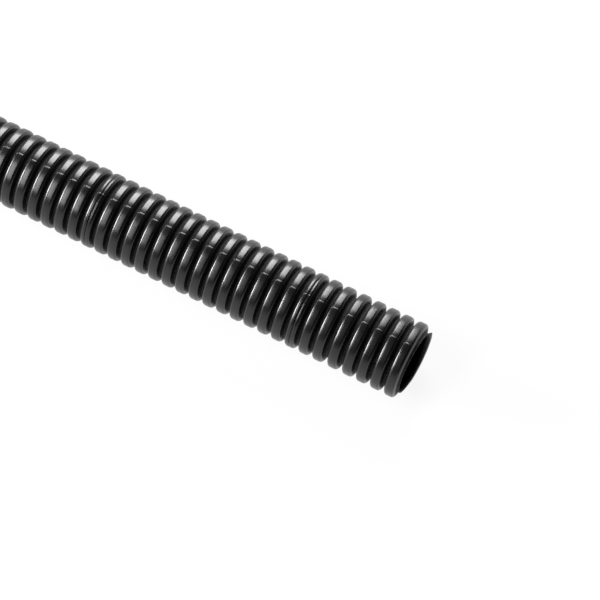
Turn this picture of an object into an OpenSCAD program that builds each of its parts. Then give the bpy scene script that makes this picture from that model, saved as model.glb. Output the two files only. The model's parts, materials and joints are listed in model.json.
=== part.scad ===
// Corrugated conduit: a straight length of stock with annular waves.
// One moulded piece. It lies along X on z = 0, with its sloping knife cut at +X
// and a plain square cut at -X.

/* [Tube] */
// Outside diameter, over the crests
outer_d = 21.2; // [19:0.1:23]
// Clear diameter of the bore, between the valleys
bore_d = 16.3; // [14.5:0.1:17.5]
// Thickness of the moulded wall, the same all along the wave
wall = 0.4; // [0.3:0.05:0.6]
// Number of waves: the length is this times the pitch
waves = 246; // [6:1:270]

/* [Wave] */
// Distance from one crest to the next
pitch = 4.065; // [4:0.005:5]
// Width of a crest between its sharp corners, before they are rounded
crest_w = 2.64; // [2.3:0.02:2.7]
// Lean of the flanks away from upright, in degrees
flank_lean = 8; // [4:0.5:9]
// Radius of a crest's outside corners
crest_round = 0.5; // [0.2:0.05:0.6]
// Radius of the outside corners at a valley's floor, where the floor is wide enough
valley_round = 0.36; // [0.1:0.02:0.4]

/* [Knife cut] */
// How far past the last crest the blade crosses the tube's axis
cut_past = 0.85; // [0.4:0.05:1]
// Slope of the cut away from square, in degrees
cut_slope = 3.6; // [0:0.2:6]
// Where round the tube the cut leaves it longest: degrees from +Y towards +Z
cut_turn = -34; // [-180:1:180]

/* [Hidden] */
// Facets of a preview
$fn = 96;

outer_r = outer_d / 2;
bore_r = bore_d / 2;
valley_r = bore_r + wall;
length = waves * pitch;
// Angle that a rounded corner turns through
corner_turn = 90 - flank_lean;
// Steps that draw a small and a large corner
crest_steps = 2;
valley_steps = 1;
// Valley floor between its sharp corners, and the least that stays flat in its middle
floor_w = pitch - crest_w - 2 * (outer_r - valley_r) * tan(flank_lean);
least_flat = 0.04;
// Radius of the floor's corners: two of them and the flat share its width
floor_round = min(valley_round, (floor_w - least_flat) / 2 / tan(corner_turn / 2));
// The crest between the sharp corners of the inner skin
inner_crest_w = crest_w - 2 * wall * tan(corner_turn / 2);
// Where the blade crosses the axis, from the square end
cut_at = (waves - 0.5) * pitch + crest_w / 2 + cut_past;

// Distance from a sharp corner to where its rounding begins
function tangent_length(radius) = radius * tan(corner_turn / 2);

// Points round a corner, as [distance from the axis, place along the tube]
function corner(centre, radius, from, to, steps) =
    radius == 0
        ? [centre]
        : [for (i = [0:steps])
            let (a = from + (to - from) * i / steps)
            centre + radius * [cos(a), sin(a)]];

// One skin of the wall over a single wave with its crest at mid
function wave(mid, crest_r, floor_r, width, crest_radius, floor_radius) =
    let (foot = width / 2 + (crest_r - floor_r) * tan(flank_lean))
    let (crest_edge = width / 2 - tangent_length(crest_radius))
    let (floor_edge = foot + tangent_length(floor_radius))
    concat(
        corner([floor_r + floor_radius, mid - floor_edge], floor_radius,
            180, 180 - corner_turn, valley_steps),
        corner([crest_r - crest_radius, mid - crest_edge], crest_radius,
            -corner_turn, 0, crest_steps),
        corner([crest_r - crest_radius, mid + crest_edge], crest_radius,
            0, corner_turn, crest_steps),
        corner([floor_r + floor_radius, mid + floor_edge], floor_radius,
            180 + corner_turn, 180, valley_steps)
    );

// The same points in the other order
function reversed(points) = [for (i = [len(points) - 1:-1:0]) points[i]];

// Section of the wall: the outer skin out along the tube and the inner skin back.
// It holds one wave more than the tube keeps, for the knife to cut through.
module wall_section() {
    mids = [for (i = [0:waves]) (i + 0.5) * pitch];
    outer_skin = [for (mid = mids)
        each wave(mid, outer_r, valley_r, crest_w, crest_round, floor_round)];
    inner_skin = [for (mid = mids)
        each wave(mid, outer_r - wall, bore_r, inner_crest_w, 0, floor_round + wall)];
    polygon(concat(
        [[bore_r, 0], [valley_r, 0]],
        outer_skin,
        [[valley_r, length + pitch], [bore_r, length + pitch]],
        reversed(inner_skin)
    ));
}

// All that lies beyond the knife's plane, as a block with room to spare round the tube
module cut_off() {
    reach = outer_d;
    depth = length + 2 * pitch - cut_at;
    translate([0, 0, cut_at])
        rotate([cut_slope, 0, cut_turn])
            translate([-reach, -reach, 0])
                cube([2 * reach, 2 * reach, depth]);
}

module conduit() {
    color("#141416")
        translate([-length / 2, 0, outer_r])
            rotate([0, 90, 0])
                difference() {
                    rotate_extrude()
                        wall_section();
                    cut_off();
                }
}

conduit();
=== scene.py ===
"""Corrugated conduit: its surface relief and plastic, the floor, the lamps and the camera."""

import json
import math
import random

import bmesh
import bpy
from bpy.props import FloatProperty, FloatVectorProperty, IntProperty, PointerProperty
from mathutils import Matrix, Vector


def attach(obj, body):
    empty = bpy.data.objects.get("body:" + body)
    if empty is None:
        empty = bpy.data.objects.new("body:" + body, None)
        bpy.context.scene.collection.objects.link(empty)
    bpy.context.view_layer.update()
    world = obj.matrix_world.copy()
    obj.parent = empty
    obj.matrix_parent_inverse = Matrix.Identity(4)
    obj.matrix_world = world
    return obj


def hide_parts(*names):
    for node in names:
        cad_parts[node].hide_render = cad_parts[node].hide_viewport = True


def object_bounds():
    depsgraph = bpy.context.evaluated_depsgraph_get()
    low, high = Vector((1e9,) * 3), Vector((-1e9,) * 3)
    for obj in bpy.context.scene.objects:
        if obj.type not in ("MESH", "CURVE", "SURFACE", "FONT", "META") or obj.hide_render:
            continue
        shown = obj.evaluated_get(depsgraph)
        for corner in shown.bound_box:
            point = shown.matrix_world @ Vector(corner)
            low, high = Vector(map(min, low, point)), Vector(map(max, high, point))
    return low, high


bl_info = {
    "name": "Corrugated Conduit",
    "version": (1, 0, 0),
    "blender": (4, 5, 0),
    "location": "View3D > Sidebar > Conduit",
    "description": "Moulded corrugated conduit with its parting lines, on a pale studio floor",
    "category": "Object",
}

MM = 0.001

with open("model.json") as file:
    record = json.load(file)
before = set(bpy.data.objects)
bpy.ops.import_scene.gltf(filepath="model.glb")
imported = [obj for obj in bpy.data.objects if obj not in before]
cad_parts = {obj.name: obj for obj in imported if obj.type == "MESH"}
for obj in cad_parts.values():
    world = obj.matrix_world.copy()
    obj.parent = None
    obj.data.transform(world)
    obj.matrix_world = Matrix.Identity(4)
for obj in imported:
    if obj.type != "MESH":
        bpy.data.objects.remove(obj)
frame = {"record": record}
cad_low, cad_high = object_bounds()
mounts = {mount["name"]: mount for mount in frame["record"]["mounts"]}
bore_radius = mounts["bore"]["dims"]["r_mm"] * MM
crest_radius = mounts["crests"]["dims"]["r_mm"] * MM
axis_height = mounts["bore"]["pos_m"][2]


def linear_colour(code):
    """The linear colour of an sRGB hex code such as "060607"."""
    channels = [int(code[i : i + 2], 16) / 255 for i in (0, 2, 4)]
    return [c / 12.92 if c <= 0.04045 else ((c + 0.055) / 1.055) ** 2.4 for c in channels]


# ---------------------------------------------------------------- sizes and colours


class ConduitSizes(bpy.types.PropertyGroup):
    """Sizes of the tube's wave and of the fine relief that its mould leaves."""

    wall: FloatProperty(
        name="Wall", description="Thickness of the wall", default=0.4 * MM, unit="LENGTH"
    )
    pitch: FloatProperty(
        name="Pitch", description="From one crest to the next", default=4.065 * MM, unit="LENGTH"
    )
    crest_width: FloatProperty(
        name="Crest Width",
        description="Between a crest's sharp corners, before they are rounded",
        default=2.64 * MM,
        unit="LENGTH",
    )
    flank_lean: FloatProperty(
        name="Flank Lean",
        description="Lean of the flanks away from upright",
        default=math.radians(8),
        unit="ROTATION",
    )
    crest_round: FloatProperty(
        name="Crest Round",
        description="Radius of a crest's outside corners",
        default=0.85 * MM,
        unit="LENGTH",
    )
    valley_round: FloatProperty(
        name="Valley Round",
        description="Radius of the outside corners at a valley's floor",
        default=0.46 * MM,
        unit="LENGTH",
    )
    flash_width: FloatProperty(
        name="Parting Line Width",
        description="Width of the raised line that the mould's halves leave",
        default=0.38 * MM,
        unit="LENGTH",
    )
    flash_height: FloatProperty(
        name="Parting Line Height",
        description="Height of the raised line on a crest",
        default=0.08 * MM,
        unit="LENGTH",
    )
    flash_slope: FloatProperty(
        name="Parting Line Slope",
        description="Width of each sloping side of the raised line",
        default=0.16 * MM,
        unit="LENGTH",
    )
    flash_turn: FloatProperty(
        name="Parting Line Turn",
        description="Where round the tube a parting line lies, from +Y towards +Z",
        default=math.radians(88.9),
        unit="ROTATION",
    )
    flash_in_valley: FloatProperty(
        name="Parting Line in Valleys",
        description="Share of its height that the raised line has on a valley's floor",
        default=0.35,
        min=0,
        max=1,
    )
    block_waves: IntProperty(
        name="Waves in a Block", description="Waves in one mould block", default=15, min=2
    )
    last_block_waves: IntProperty(
        name="Waves in the Last Block",
        description="Whole waves between the last block groove and the knife cut",
        default=7,
        min=0,
    )
    groove_width: FloatProperty(
        name="Block Groove Width",
        description="Width of the groove where two mould blocks meet on a crest",
        default=0.45 * MM,
        unit="LENGTH",
    )
    groove_depth: FloatProperty(
        name="Block Groove Depth",
        description="Depth of the groove where two mould blocks meet",
        default=0.22 * MM,
        unit="LENGTH",
    )
    wave_shift: FloatProperty(
        name="Wave Shift",
        description="Most that a wave lies away from its even place",
        default=0.008 * MM,
        unit="LENGTH",
    )
    wave_tilt: FloatProperty(
        name="Wave Tilt",
        description="Most that a wave leans away from square",
        default=math.radians(0.1),
        unit="ROTATION",
    )
    drawn_out: FloatProperty(
        name="Drawn Out",
        description="How much longer the valleys before the last waves are drawn in all",
        default=0.55 * MM,
        unit="LENGTH",
    )
    drawn_waves: IntProperty(
        name="Waves After the Drawn Valleys", description="Whole waves past them", default=4, min=1
    )
    cut_past: FloatProperty(
        name="Cut Past Crest",
        description="How far past the last crest the blade crosses the tube's axis",
        default=1.04 * MM,
        unit="LENGTH",
    )
    cut_slope: FloatProperty(
        name="Cut Slope",
        description="Slope of the cut away from square",
        default=math.radians(2.4),
        unit="ROTATION",
    )
    cut_turn: FloatProperty(
        name="Cut Turn",
        description="Where round the tube the cut leaves it longest, from +Y towards +Z",
        default=math.radians(-46),
        unit="ROTATION",
    )


class ConduitLook(bpy.types.PropertyGroup):
    """Finish of the plastic."""

    colour: FloatVectorProperty(
        name="Colour",
        description="Colour of the plastic",
        subtype="COLOR",
        size=3,
        min=0,
        max=1,
        default=linear_colour("060607"),
    )
    roughness: FloatProperty(
        name="Roughness", description="Roughness of the gloss", default=0.28, min=0, max=1
    )
    valley_roughness: FloatProperty(
        name="Valley Roughness", description="Roughness of the dull valleys", default=0.75, min=0, max=1
    )
    ior: FloatProperty(
        name="IOR", description="Refraction index of the plastic", default=1.5, min=1, max=2
    )


class ConduitStage(bpy.types.PropertyGroup):
    """Floor, lamps and camera."""

    floor_colour: FloatVectorProperty(
        name="Floor",
        description="Colour of the floor",
        subtype="COLOR",
        size=3,
        min=0,
        max=1,
        default=linear_colour("f4f4f4"),
    )
    camera_turn: FloatProperty(
        name="Camera Turn",
        description="Camera's place round the tube, from -Y towards +X",
        default=math.radians(27.9),
        unit="ROTATION",
    )
    camera_rise: FloatProperty(
        name="Camera Rise",
        description="Camera's height above the horizon",
        default=math.radians(67.9),
        unit="ROTATION",
    )
    camera_distance: FloatProperty(
        name="Camera Distance", description="From the tube's axis", default=0.635, unit="LENGTH"
    )
    camera_lens: FloatProperty(
        name="Camera Lens", description="Focal length in millimetres", default=145.9
    )
    aim_from_crest: FloatProperty(
        name="Aim From Last Crest",
        description="Where the camera looks, along the tube from its last crest",
        default=-33.36 * MM,
        unit="LENGTH",
    )
    aim_aside: FloatProperty(
        name="Aim Aside",
        description="Where the camera looks, across the tube",
        default=1.8 * MM,
        unit="LENGTH",
    )
    room_light: FloatProperty(
        name="Room Light", description="Dim light from the rest of the room", default=0.03, min=0
    )
    front_lamp: FloatProperty(
        name="Front Lamp", description="Radiance of the softbox overhead", default=12, min=0
    )
    back_lamp: FloatProperty(
        name="Back Lamp", description="Radiance of the softbox behind", default=15.5, min=0
    )
    side_lamp: FloatProperty(
        name="Side Lamp", description="Radiance of the softbox beyond the far end", default=44, min=0
    )


# ---------------------------------------------------------------- the tube's surface


def tube_end(sizes):
    """How many whole waves the tube has, and where along X its last crest ends."""
    waves = round((cad_high.x - cad_low.x) / sizes.pitch)
    return waves, cad_low.x + (waves - 0.5) * sizes.pitch + sizes.crest_width / 2


def corner(centre, radius, start, end, steps, raised):
    """Points round a corner: place along the tube, distance from the axis, share of the parting line.

    Turns are measured from straight out from the axis. A corner without a radius is one plain point.
    """
    if radius <= 0:
        return [(*centre, 0)]
    turns = [start + (end - start) * step / steps for step in range(steps + 1)]
    return [
        (centre[0] + radius * math.sin(a), centre[1] + radius * math.cos(a), raised * abs(math.cos(a)))
        for a in turns
    ]


def wave_points(skin, middle, groove=()):
    """One skin of the wall over a wave, from valley to valley, with its crest at middle."""
    turn = math.pi / 2 - skin["lean"]
    crest, floor = skin["crest"], skin["floor"]
    crest_x = skin["width"] / 2 - skin["crest_round"] * math.tan(turn / 2)
    foot = skin["width"] / 2 + (crest - floor) * math.tan(skin["lean"])
    floor_x = foot + skin["floor_round"] * math.tan(turn / 2)
    crest_y, floor_y = crest - skin["crest_round"], floor + skin["floor_round"]
    sides = [
        ((middle - floor_x, floor_y), "floor", math.pi, math.pi - turn),
        ((middle - crest_x, crest_y), "crest", -turn, 0),
        ((middle + crest_x, crest_y), "crest", 0, turn),
        ((middle + floor_x, floor_y), "floor", math.pi + turn, math.pi),
    ]
    left_floor, left_crest, right_crest, right_floor = [
        corner(centre, skin[f"{at}_round"], start, end, skin[f"{at}_steps"], skin[f"{at}_raised"])
        for centre, at, start, end in sides
    ]
    channel = [(middle + x, crest - depth, skin["crest_raised"]) for x, depth in groove]
    return left_floor + left_crest + channel + right_crest + right_floor


def skins(sizes, steps):
    """The measures of the tube's outer and inner skins. The wall is as thick all along the wave."""
    turn = math.pi / 2 - sizes.flank_lean
    crest = crest_radius - sizes.flash_height
    outer = {
        "crest": crest,
        "floor": bore_radius + sizes.wall,
        "width": sizes.crest_width,
        "crest_round": sizes.crest_round,
        "floor_round": sizes.valley_round,
        "crest_raised": 1,
        "floor_raised": sizes.flash_in_valley,
    }
    inner = {
        "crest": crest - sizes.wall,
        "floor": bore_radius,
        "width": sizes.crest_width - 2 * sizes.wall * math.tan(turn / 2),
        "crest_round": 0,
        "floor_round": sizes.valley_round + sizes.wall,
        "crest_raised": 0,
        "floor_raised": 0,
    }
    for skin in (outer, inner):
        skin.update(lean=sizes.flank_lean, floor_steps=steps[0], crest_steps=steps[1])
    return outer, inner


def block_groove(sizes):
    """Section of the groove between two mould blocks: a long slope from -X and a steep side facing it."""
    width, depth = sizes.groove_width, sizes.groove_depth
    # shares of the width along the tube from the crest's middle, and of the depth
    shape = ((-0.45, 0), (-0.27, 0.12), (0.03, 0.92), (0.15, 1), (0.25, 0.9), (0.45, 0.12), (0.55, 0))
    return [(x * width, y * depth) for x, y in shape]


def columns(sizes, count):
    """The tube's columns as (angle from +Y towards +Z, share of the parting line's height)."""
    reach = sizes.flash_width / 2 / crest_radius
    slope = sizes.flash_slope / crest_radius
    free = math.pi - 2 * reach
    shares = [step / (count // 2 + 1) for step in range(1, count // 2 + 1)]
    # the columns draw closer together towards the raised lines
    crowding = 0.8
    around = []
    for half in range(2):
        seam = sizes.flash_turn + half * math.pi
        around += [(seam - reach, 0), (seam - reach + slope, 1)]
        around += [(seam + reach - slope, 1), (seam + reach, 0)]
        around += [
            (seam + reach + free * (share - crowding * math.sin(math.tau * share) / math.tau), 0)
            for share in shares
        ]
    return around


def wave_places(sizes, count):
    """Small differences from wave to wave: each wave's shift, its tilt and the tilt's direction."""
    rng = random.Random(17)
    waves, _ = tube_end(sizes)
    # the valleys before and after this wave are drawn longer, and the waves before it share the slack
    drawn = waves - sizes.drawn_waves - 1
    second_valley = 0.37
    places = []
    for wave in range(count):
        if wave < drawn:
            share = wave / (drawn - 1)
        else:
            share = second_valley if wave == drawn else 0
        places.append((
            rng.uniform(-1, 1) * sizes.wave_shift - share * sizes.drawn_out,
            rng.uniform(0, 1) * sizes.wave_tilt,
            rng.uniform(0, math.tau),
        ))
    return places


def stretch_rows(sizes, first, last, steps, places, open_end):
    """The closed section of the tube from wave first to wave last: outer skin out, inner skin back.

    An open_end of 1 adds a wave for the knife to cut through.
    """
    waves, _ = tube_end(sizes)
    outer, inner = skins(sizes, steps)
    level = (0, 0, 0)
    stop = last + 1 + open_end
    start_x, stop_x = (cad_low.x + wave * sizes.pitch for wave in (first, stop))
    out_rows = [((start_x, outer["floor"], 0), level)]
    in_rows = [((start_x, inner["floor"], 0), level)]
    for wave in range(first, stop):
        middle = cad_low.x + (wave + 0.5) * sizes.pitch
        is_joint = (waves - 1 - wave) % sizes.block_waves == sizes.last_block_waves
        groove = block_groove(sizes) if is_joint else ()
        out_rows += [(point, places[wave]) for point in wave_points(outer, middle, groove)]
        in_rows += [(point, places[wave]) for point in wave_points(inner, middle)]
    out_rows.append(((stop_x, outer["floor"], 0), level))
    in_rows.append(((stop_x, inner["floor"], 0), level))
    return out_rows + in_rows[::-1]


def ring_mesh(name, rows, around, flash_height):
    """Turns the rows round the tube's axis, with the parting lines raised on them."""
    vertices = []
    for (x, radius, raised), (shift, tilt, toward) in rows:
        for angle, share in around:
            r = radius + raised * share * flash_height
            lean = shift + tilt * radius * math.cos(angle - toward)
            vertices.append((x + lean, r * math.cos(angle), axis_height + r * math.sin(angle)))
    width, height = len(around), len(rows)
    faces = []
    for row in range(height):
        this, after = row * width, (row + 1) % height * width
        for column in range(width):
            beside = (column + 1) % width
            faces.append((this + column, this + beside, after + beside, after + column))
    mesh = bpy.data.meshes.new(name)
    mesh.from_pydata(vertices, [], faces)
    return mesh


def knife_cut(mesh, sizes):
    """Cuts the near end off along the knife's plane and closes the wall there."""
    _, last_crest = tube_end(sizes)
    point = Vector((last_crest + sizes.cut_past, 0, axis_height))
    lean, toward = math.sin(sizes.cut_slope), sizes.cut_turn
    normal = Vector((math.cos(sizes.cut_slope), -math.cos(toward) * lean, -math.sin(toward) * lean))
    knife = bmesh.new()
    knife.from_mesh(mesh)
    everything = knife.verts[:] + knife.edges[:] + knife.faces[:]
    cut = bmesh.ops.bisect_plane(
        knife, geom=everything, plane_co=point, plane_no=normal, clear_outer=True
    )
    rim = [part for part in cut["geom_cut"] if isinstance(part, bmesh.types.BMEdge)]
    bmesh.ops.triangle_fill(knife, use_beauty=True, edges=rim, normal=normal)
    knife.to_mesh(mesh)
    knife.free()


# ---------------------------------------------------------------- plastic


def add_node(tree, kind, settings=None, links=None):
    """Adds a node, sets its own values and its unlinked sockets, and links the rest."""
    node = tree.nodes.new(kind)
    for key, value in (settings or {}).items():
        if isinstance(key, str) and hasattr(node, key):
            setattr(node, key, value)
        else:
            node.inputs[key].default_value = value
    for key, source in (links or {}).items():
        tree.links.new(source, node.inputs[key])
    return node


def moulded_polyamide(look):
    """Black polyamide, extruded hot and blown into polished mould blocks: glossy, faintly uneven."""
    material = bpy.data.materials.new("moulded_polyamide")
    material.use_nodes = True
    tree = material.node_tree
    tree.nodes.clear()
    place = add_node(tree, "ShaderNodeTexCoord").outputs["Object"]
    # soft patches where the plastic met the mould a little cooler or hotter
    patch_size = 2.5 * MM
    patches = add_node(
        tree, "ShaderNodeTexNoise", {"Scale": 1 / patch_size, "Detail": 2.0}, {"Vector": place}
    )
    # the fine skin of the mould's surface
    grain_size = 0.16 * MM
    skin = add_node(
        tree,
        "ShaderNodeTexNoise",
        {"Scale": 1 / grain_size, "Detail": 3.0, "Roughness": 0.6},
        {"Vector": place},
    )
    # the crests are glossy and the valleys dull, by the distance from the tube's axis
    axis = (0, 0, axis_height)
    from_axis = add_node(tree, "ShaderNodeVectorMath", {"operation": "SUBTRACT", 1: axis}, {0: place})
    across = add_node(
        tree, "ShaderNodeVectorMath", {"operation": "MULTIPLY", 1: (0, 1, 1)}, {0: from_axis.outputs[0]}
    )
    radius = add_node(
        tree, "ShaderNodeVectorMath", {"operation": "LENGTH"}, {0: across.outputs[0]}
    )
    gloss = add_node(
        tree,
        "ShaderNodeMapRange",
        {
            "From Min": bore_radius + 0.55 * MM,
            "From Max": crest_radius - 0.7 * MM,
            "To Min": look.valley_roughness,
            "To Max": look.roughness,
        },
        {"Value": radius.outputs["Value"]},
    )
    uneven = add_node(
        tree,
        "ShaderNodeMapRange",
        {"To Min": 0.8, "To Max": 1.25},
        {"Value": patches.outputs["Fac"]},
    )
    roughness = add_node(
        tree,
        "ShaderNodeMath",
        {"operation": "MULTIPLY"},
        {0: gloss.outputs["Result"], 1: uneven.outputs["Result"]},
    )
    dark, light = [*look.colour, 1], [*(channel * 1.5 for channel in look.colour), 1]
    tint = add_node(
        tree,
        "ShaderNodeMix",
        {"data_type": "RGBA", 6: dark, 7: light},
        {0: patches.outputs["Fac"]},
    )
    waviness = add_node(
        tree,
        "ShaderNodeBump",
        {"Strength": 0.25, "Distance": 0.02 * MM},
        {"Height": patches.outputs["Fac"]},
    )
    grain = add_node(
        tree,
        "ShaderNodeBump",
        {"Strength": 0.2, "Distance": 0.004 * MM},
        {"Height": skin.outputs["Fac"], "Normal": waviness.outputs["Normal"]},
    )
    plastic = add_node(
        tree,
        "ShaderNodeBsdfPrincipled",
        {"IOR": look.ior},
        {
            "Base Color": tint.outputs[2],
            "Roughness": roughness.outputs["Value"],
            "Normal": grain.outputs["Normal"],
        },
    )
    add_node(tree, "ShaderNodeOutputMaterial", links={"Surface": plastic.outputs["BSDF"]})
    return material


# ---------------------------------------------------------------- floor, lamps and camera


def white_floor(colour):
    """Matt white sheet: paper, plain white to the eye, with a faint shadow where the tube shades it."""
    material = bpy.data.materials.new("white_sheet")
    material.use_nodes = True
    tree = material.node_tree
    tree.nodes.clear()
    path = add_node(tree, "ShaderNodeLightPath")
    seen = add_node(
        tree,
        "ShaderNodeMath",
        {"operation": "ADD", "use_clamp": True},
        {0: path.outputs["Is Camera Ray"], 1: path.outputs["Is Glossy Ray"]},
    )
    seen = add_node(
        tree,
        "ShaderNodeMath",
        {"operation": "ADD", "use_clamp": True},
        {0: seen.outputs[0], 1: path.outputs["Is Transmission Ray"]},
    )
    lit = add_node(tree, "ShaderNodeBsdfDiffuse", {"Color": [*colour, 1]})
    white = add_node(tree, "ShaderNodeEmission", {"Color": [1, 1, 1, 1], "Strength": 1.0})
    # the rest of what is seen is the lit sheet, which keeps the shadow
    plain_share = 0.9
    share = add_node(
        tree, "ShaderNodeMath", {"operation": "MULTIPLY", 1: plain_share}, {0: seen.outputs[0]}
    )
    both = add_node(
        tree,
        "ShaderNodeMixShader",
        links={0: share.outputs[0], 1: lit.outputs["BSDF"], 2: white.outputs["Emission"]},
    )
    add_node(tree, "ShaderNodeOutputMaterial", links={"Surface": both.outputs["Shader"]})
    return material


def bowl(name, radius, rim, height, steps=24, around=96):
    """A flat round floor whose edge sweeps up, so that every side view has the same plain background."""
    rows = [(radius - rim, 0.0)]
    for step in range(1, steps + 1):
        turn = math.pi / 2 * step / steps
        rows.append((radius - rim + rim * math.sin(turn), height * (1 - math.cos(turn))))
    angles = [math.tau * step / around for step in range(around)]
    vertices = [(r * math.cos(a), r * math.sin(a), z) for r, z in rows for a in angles]
    faces = [tuple(range(around))]
    for row in range(len(rows) - 1):
        base = row * around
        for column in range(around):
            beside = (column + 1) % around
            faces.append(
                (base + column, base + around + column, base + around + beside, base + beside)
            )
    mesh = bpy.data.meshes.new(name)
    mesh.from_pydata(vertices, [], faces)
    mesh.shade_smooth()
    return bpy.data.objects.new(name, mesh)


def softbox(name, place, aim, width, height, radiance):
    """A rectangular lamp of even radiance that faces aim, with its width level."""
    lamp = bpy.data.lights.new(name, "AREA")
    lamp.shape = "RECTANGLE"
    lamp.size, lamp.size_y = width, height
    lamp.energy = radiance * math.pi * width * height
    holder = bpy.data.objects.new(name, lamp)
    holder.location = place
    holder.rotation_euler = (aim - place).to_track_quat("-Z", "Y").to_euler()
    holder.visible_camera = False
    bpy.context.scene.collection.objects.link(holder)


# ---------------------------------------------------------------- operators


class CONDUIT_OT_tube(bpy.types.Operator):
    """Build the corrugated tube in four stretches, with the knife cut on the last"""

    bl_idname = "conduit.tube"
    bl_label = "Build Tube"

    def execute(self, context):
        sizes = context.scene.conduit_sizes
        waves, _ = tube_end(sizes)
        near_waves = 30
        far_waves, far_parts = waves - near_waves, 3
        places = wave_places(sizes, waves + 2)
        plastic = moulded_polyamide(context.scene.conduit_look)
        sharpest_smooth = math.radians(34)
        # first wave, last wave, steps round a valley's and a crest's corner, columns
        stretches = [
            (part * far_waves // far_parts, (part + 1) * far_waves // far_parts - 1, (2, 3), 48)
            for part in range(far_parts)
        ]
        # the near stretch, by the knife cut, is drawn finer
        stretches.append((far_waves, waves - 1, (3, 4), 84))
        for number, (first, last, steps, count) in enumerate(stretches, 1):
            is_near = last == waves - 1
            rows = stretch_rows(sizes, first, last, steps, places, int(is_near))
            mesh = ring_mesh(f"conduit_{number}", rows, columns(sizes, count), sizes.flash_height)
            if is_near:
                knife_cut(mesh, sizes)
            mesh.materials.append(plastic)
            mesh.shade_smooth()
            mesh.set_sharp_from_angle(angle=sharpest_smooth)
            piece = bpy.data.objects.new(f"conduit_{number}", mesh)
            context.scene.collection.objects.link(piece)
            weights = piece.modifiers.new("Weighted Normal", "WEIGHTED_NORMAL")
            weights.keep_sharp = True
            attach(piece, "root")
            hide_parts("conduit")
        return {"FINISHED"}


class CONDUIT_OT_stage(bpy.types.Operator):
    """Lay the white floor, hang the lamps and set the camera"""

    bl_idname = "conduit.stage"
    bl_label = "Set Stage"

    def execute(self, context):
        scene = context.scene
        stage, sizes = scene.conduit_stage, scene.conduit_sizes
        scene.view_settings.view_transform = "Standard"

        floor = bowl("floor", radius=7.0, rim=1.2, height=1.6)
        floor.location.z = cad_low.z
        floor.data.materials.append(white_floor(stage.floor_colour))
        scene.collection.objects.link(floor)

        world = scene.world or bpy.data.worlds.new("studio")
        scene.world = world
        world.use_nodes = True
        studio = world.node_tree.nodes["Background"]
        studio.inputs["Color"].default_value = (1, 1, 1, 1)
        studio.inputs["Strength"].default_value = stage.room_light

        _, last_crest = tube_end(sizes)
        crest_middle = Vector((last_crest, 0, axis_height))
        # name, right edge from the last crest, width along the tube, distance from the axis,
        # lowest and highest turn round the tube from -Y over the top, radiance
        for name, right, width, distance, low, high, radiance in (
            ("softbox_front", -0.27, 0.15, 0.6, 34, 82, stage.front_lamp),
            ("softbox_back", -0.12, 0.34, 0.7, 131, 172, stage.back_lamp),
        ):
            aim = crest_middle + Vector((right - width / 2, 0, 0))
            turn = math.radians((low + high) / 2)
            place = aim + distance * Vector((0, -math.cos(turn), math.sin(turn)))
            height = 2 * distance * math.tan(math.radians((high - low) / 2))
            softbox(name, place, aim, width, height, radiance)

        # the side lamp stands low beyond the tube's far end, a little towards -Y
        distance, turn, rise = 3.2, math.radians(12.5), math.radians(12)
        half_width, half_height = math.radians(15), math.radians(11)
        along = Vector((
            -math.cos(rise) * math.cos(turn), -math.cos(rise) * math.sin(turn), math.sin(rise)
        ))
        width, height = (2 * distance * math.tan(half) for half in (half_width, half_height))
        place = crest_middle + along * distance
        softbox("softbox_side", place, crest_middle, width, height, stage.side_lamp)

        lens = bpy.data.cameras.new("camera")
        lens.lens = stage.camera_lens
        camera = bpy.data.objects.new("camera", lens)
        turn, rise = stage.camera_turn, stage.camera_rise
        back = Vector((
            math.sin(turn) * math.cos(rise), -math.cos(turn) * math.cos(rise), math.sin(rise)
        ))
        aim = Vector((last_crest + stage.aim_from_crest, stage.aim_aside, axis_height))
        camera.location = aim + back * stage.camera_distance
        camera.rotation_euler = (-back).to_track_quat("-Z", "Y").to_euler()
        lens.clip_start = 0.01
        scene.collection.objects.link(camera)
        scene.camera = camera
        return {"FINISHED"}


class CONDUIT_PT_panel(bpy.types.Panel):
    """Sizes, finish and stage of the conduit"""

    bl_idname = "CONDUIT_PT_panel"
    bl_label = "Corrugated Conduit"
    bl_space_type = "VIEW_3D"
    bl_region_type = "UI"
    bl_category = "Conduit"

    def draw(self, context):
        for group, operator in (
            (context.scene.conduit_sizes, None),
            (context.scene.conduit_look, CONDUIT_OT_tube),
            (context.scene.conduit_stage, CONDUIT_OT_stage),
        ):
            column = self.layout.column(align=True)
            for name in group.__annotations__:
                column.prop(group, name)
            if operator:
                self.layout.operator(operator.bl_idname)


CLASSES = (
    ConduitSizes,
    ConduitLook,
    ConduitStage,
    CONDUIT_OT_tube,
    CONDUIT_OT_stage,
    CONDUIT_PT_panel,
)


def register():
    for cls in CLASSES:
        bpy.utils.register_class(cls)
    bpy.types.Scene.conduit_sizes = PointerProperty(type=ConduitSizes)
    bpy.types.Scene.conduit_look = PointerProperty(type=ConduitLook)
    bpy.types.Scene.conduit_stage = PointerProperty(type=ConduitStage)


def unregister():
    for name in ("conduit_sizes", "conduit_look", "conduit_stage"):
        delattr(bpy.types.Scene, name)
    for cls in reversed(CLASSES):
        bpy.utils.unregister_class(cls)


def main():
    register()
    bpy.ops.conduit.tube()
    bpy.ops.conduit.stage()


if __name__ == "__main__":
    main()
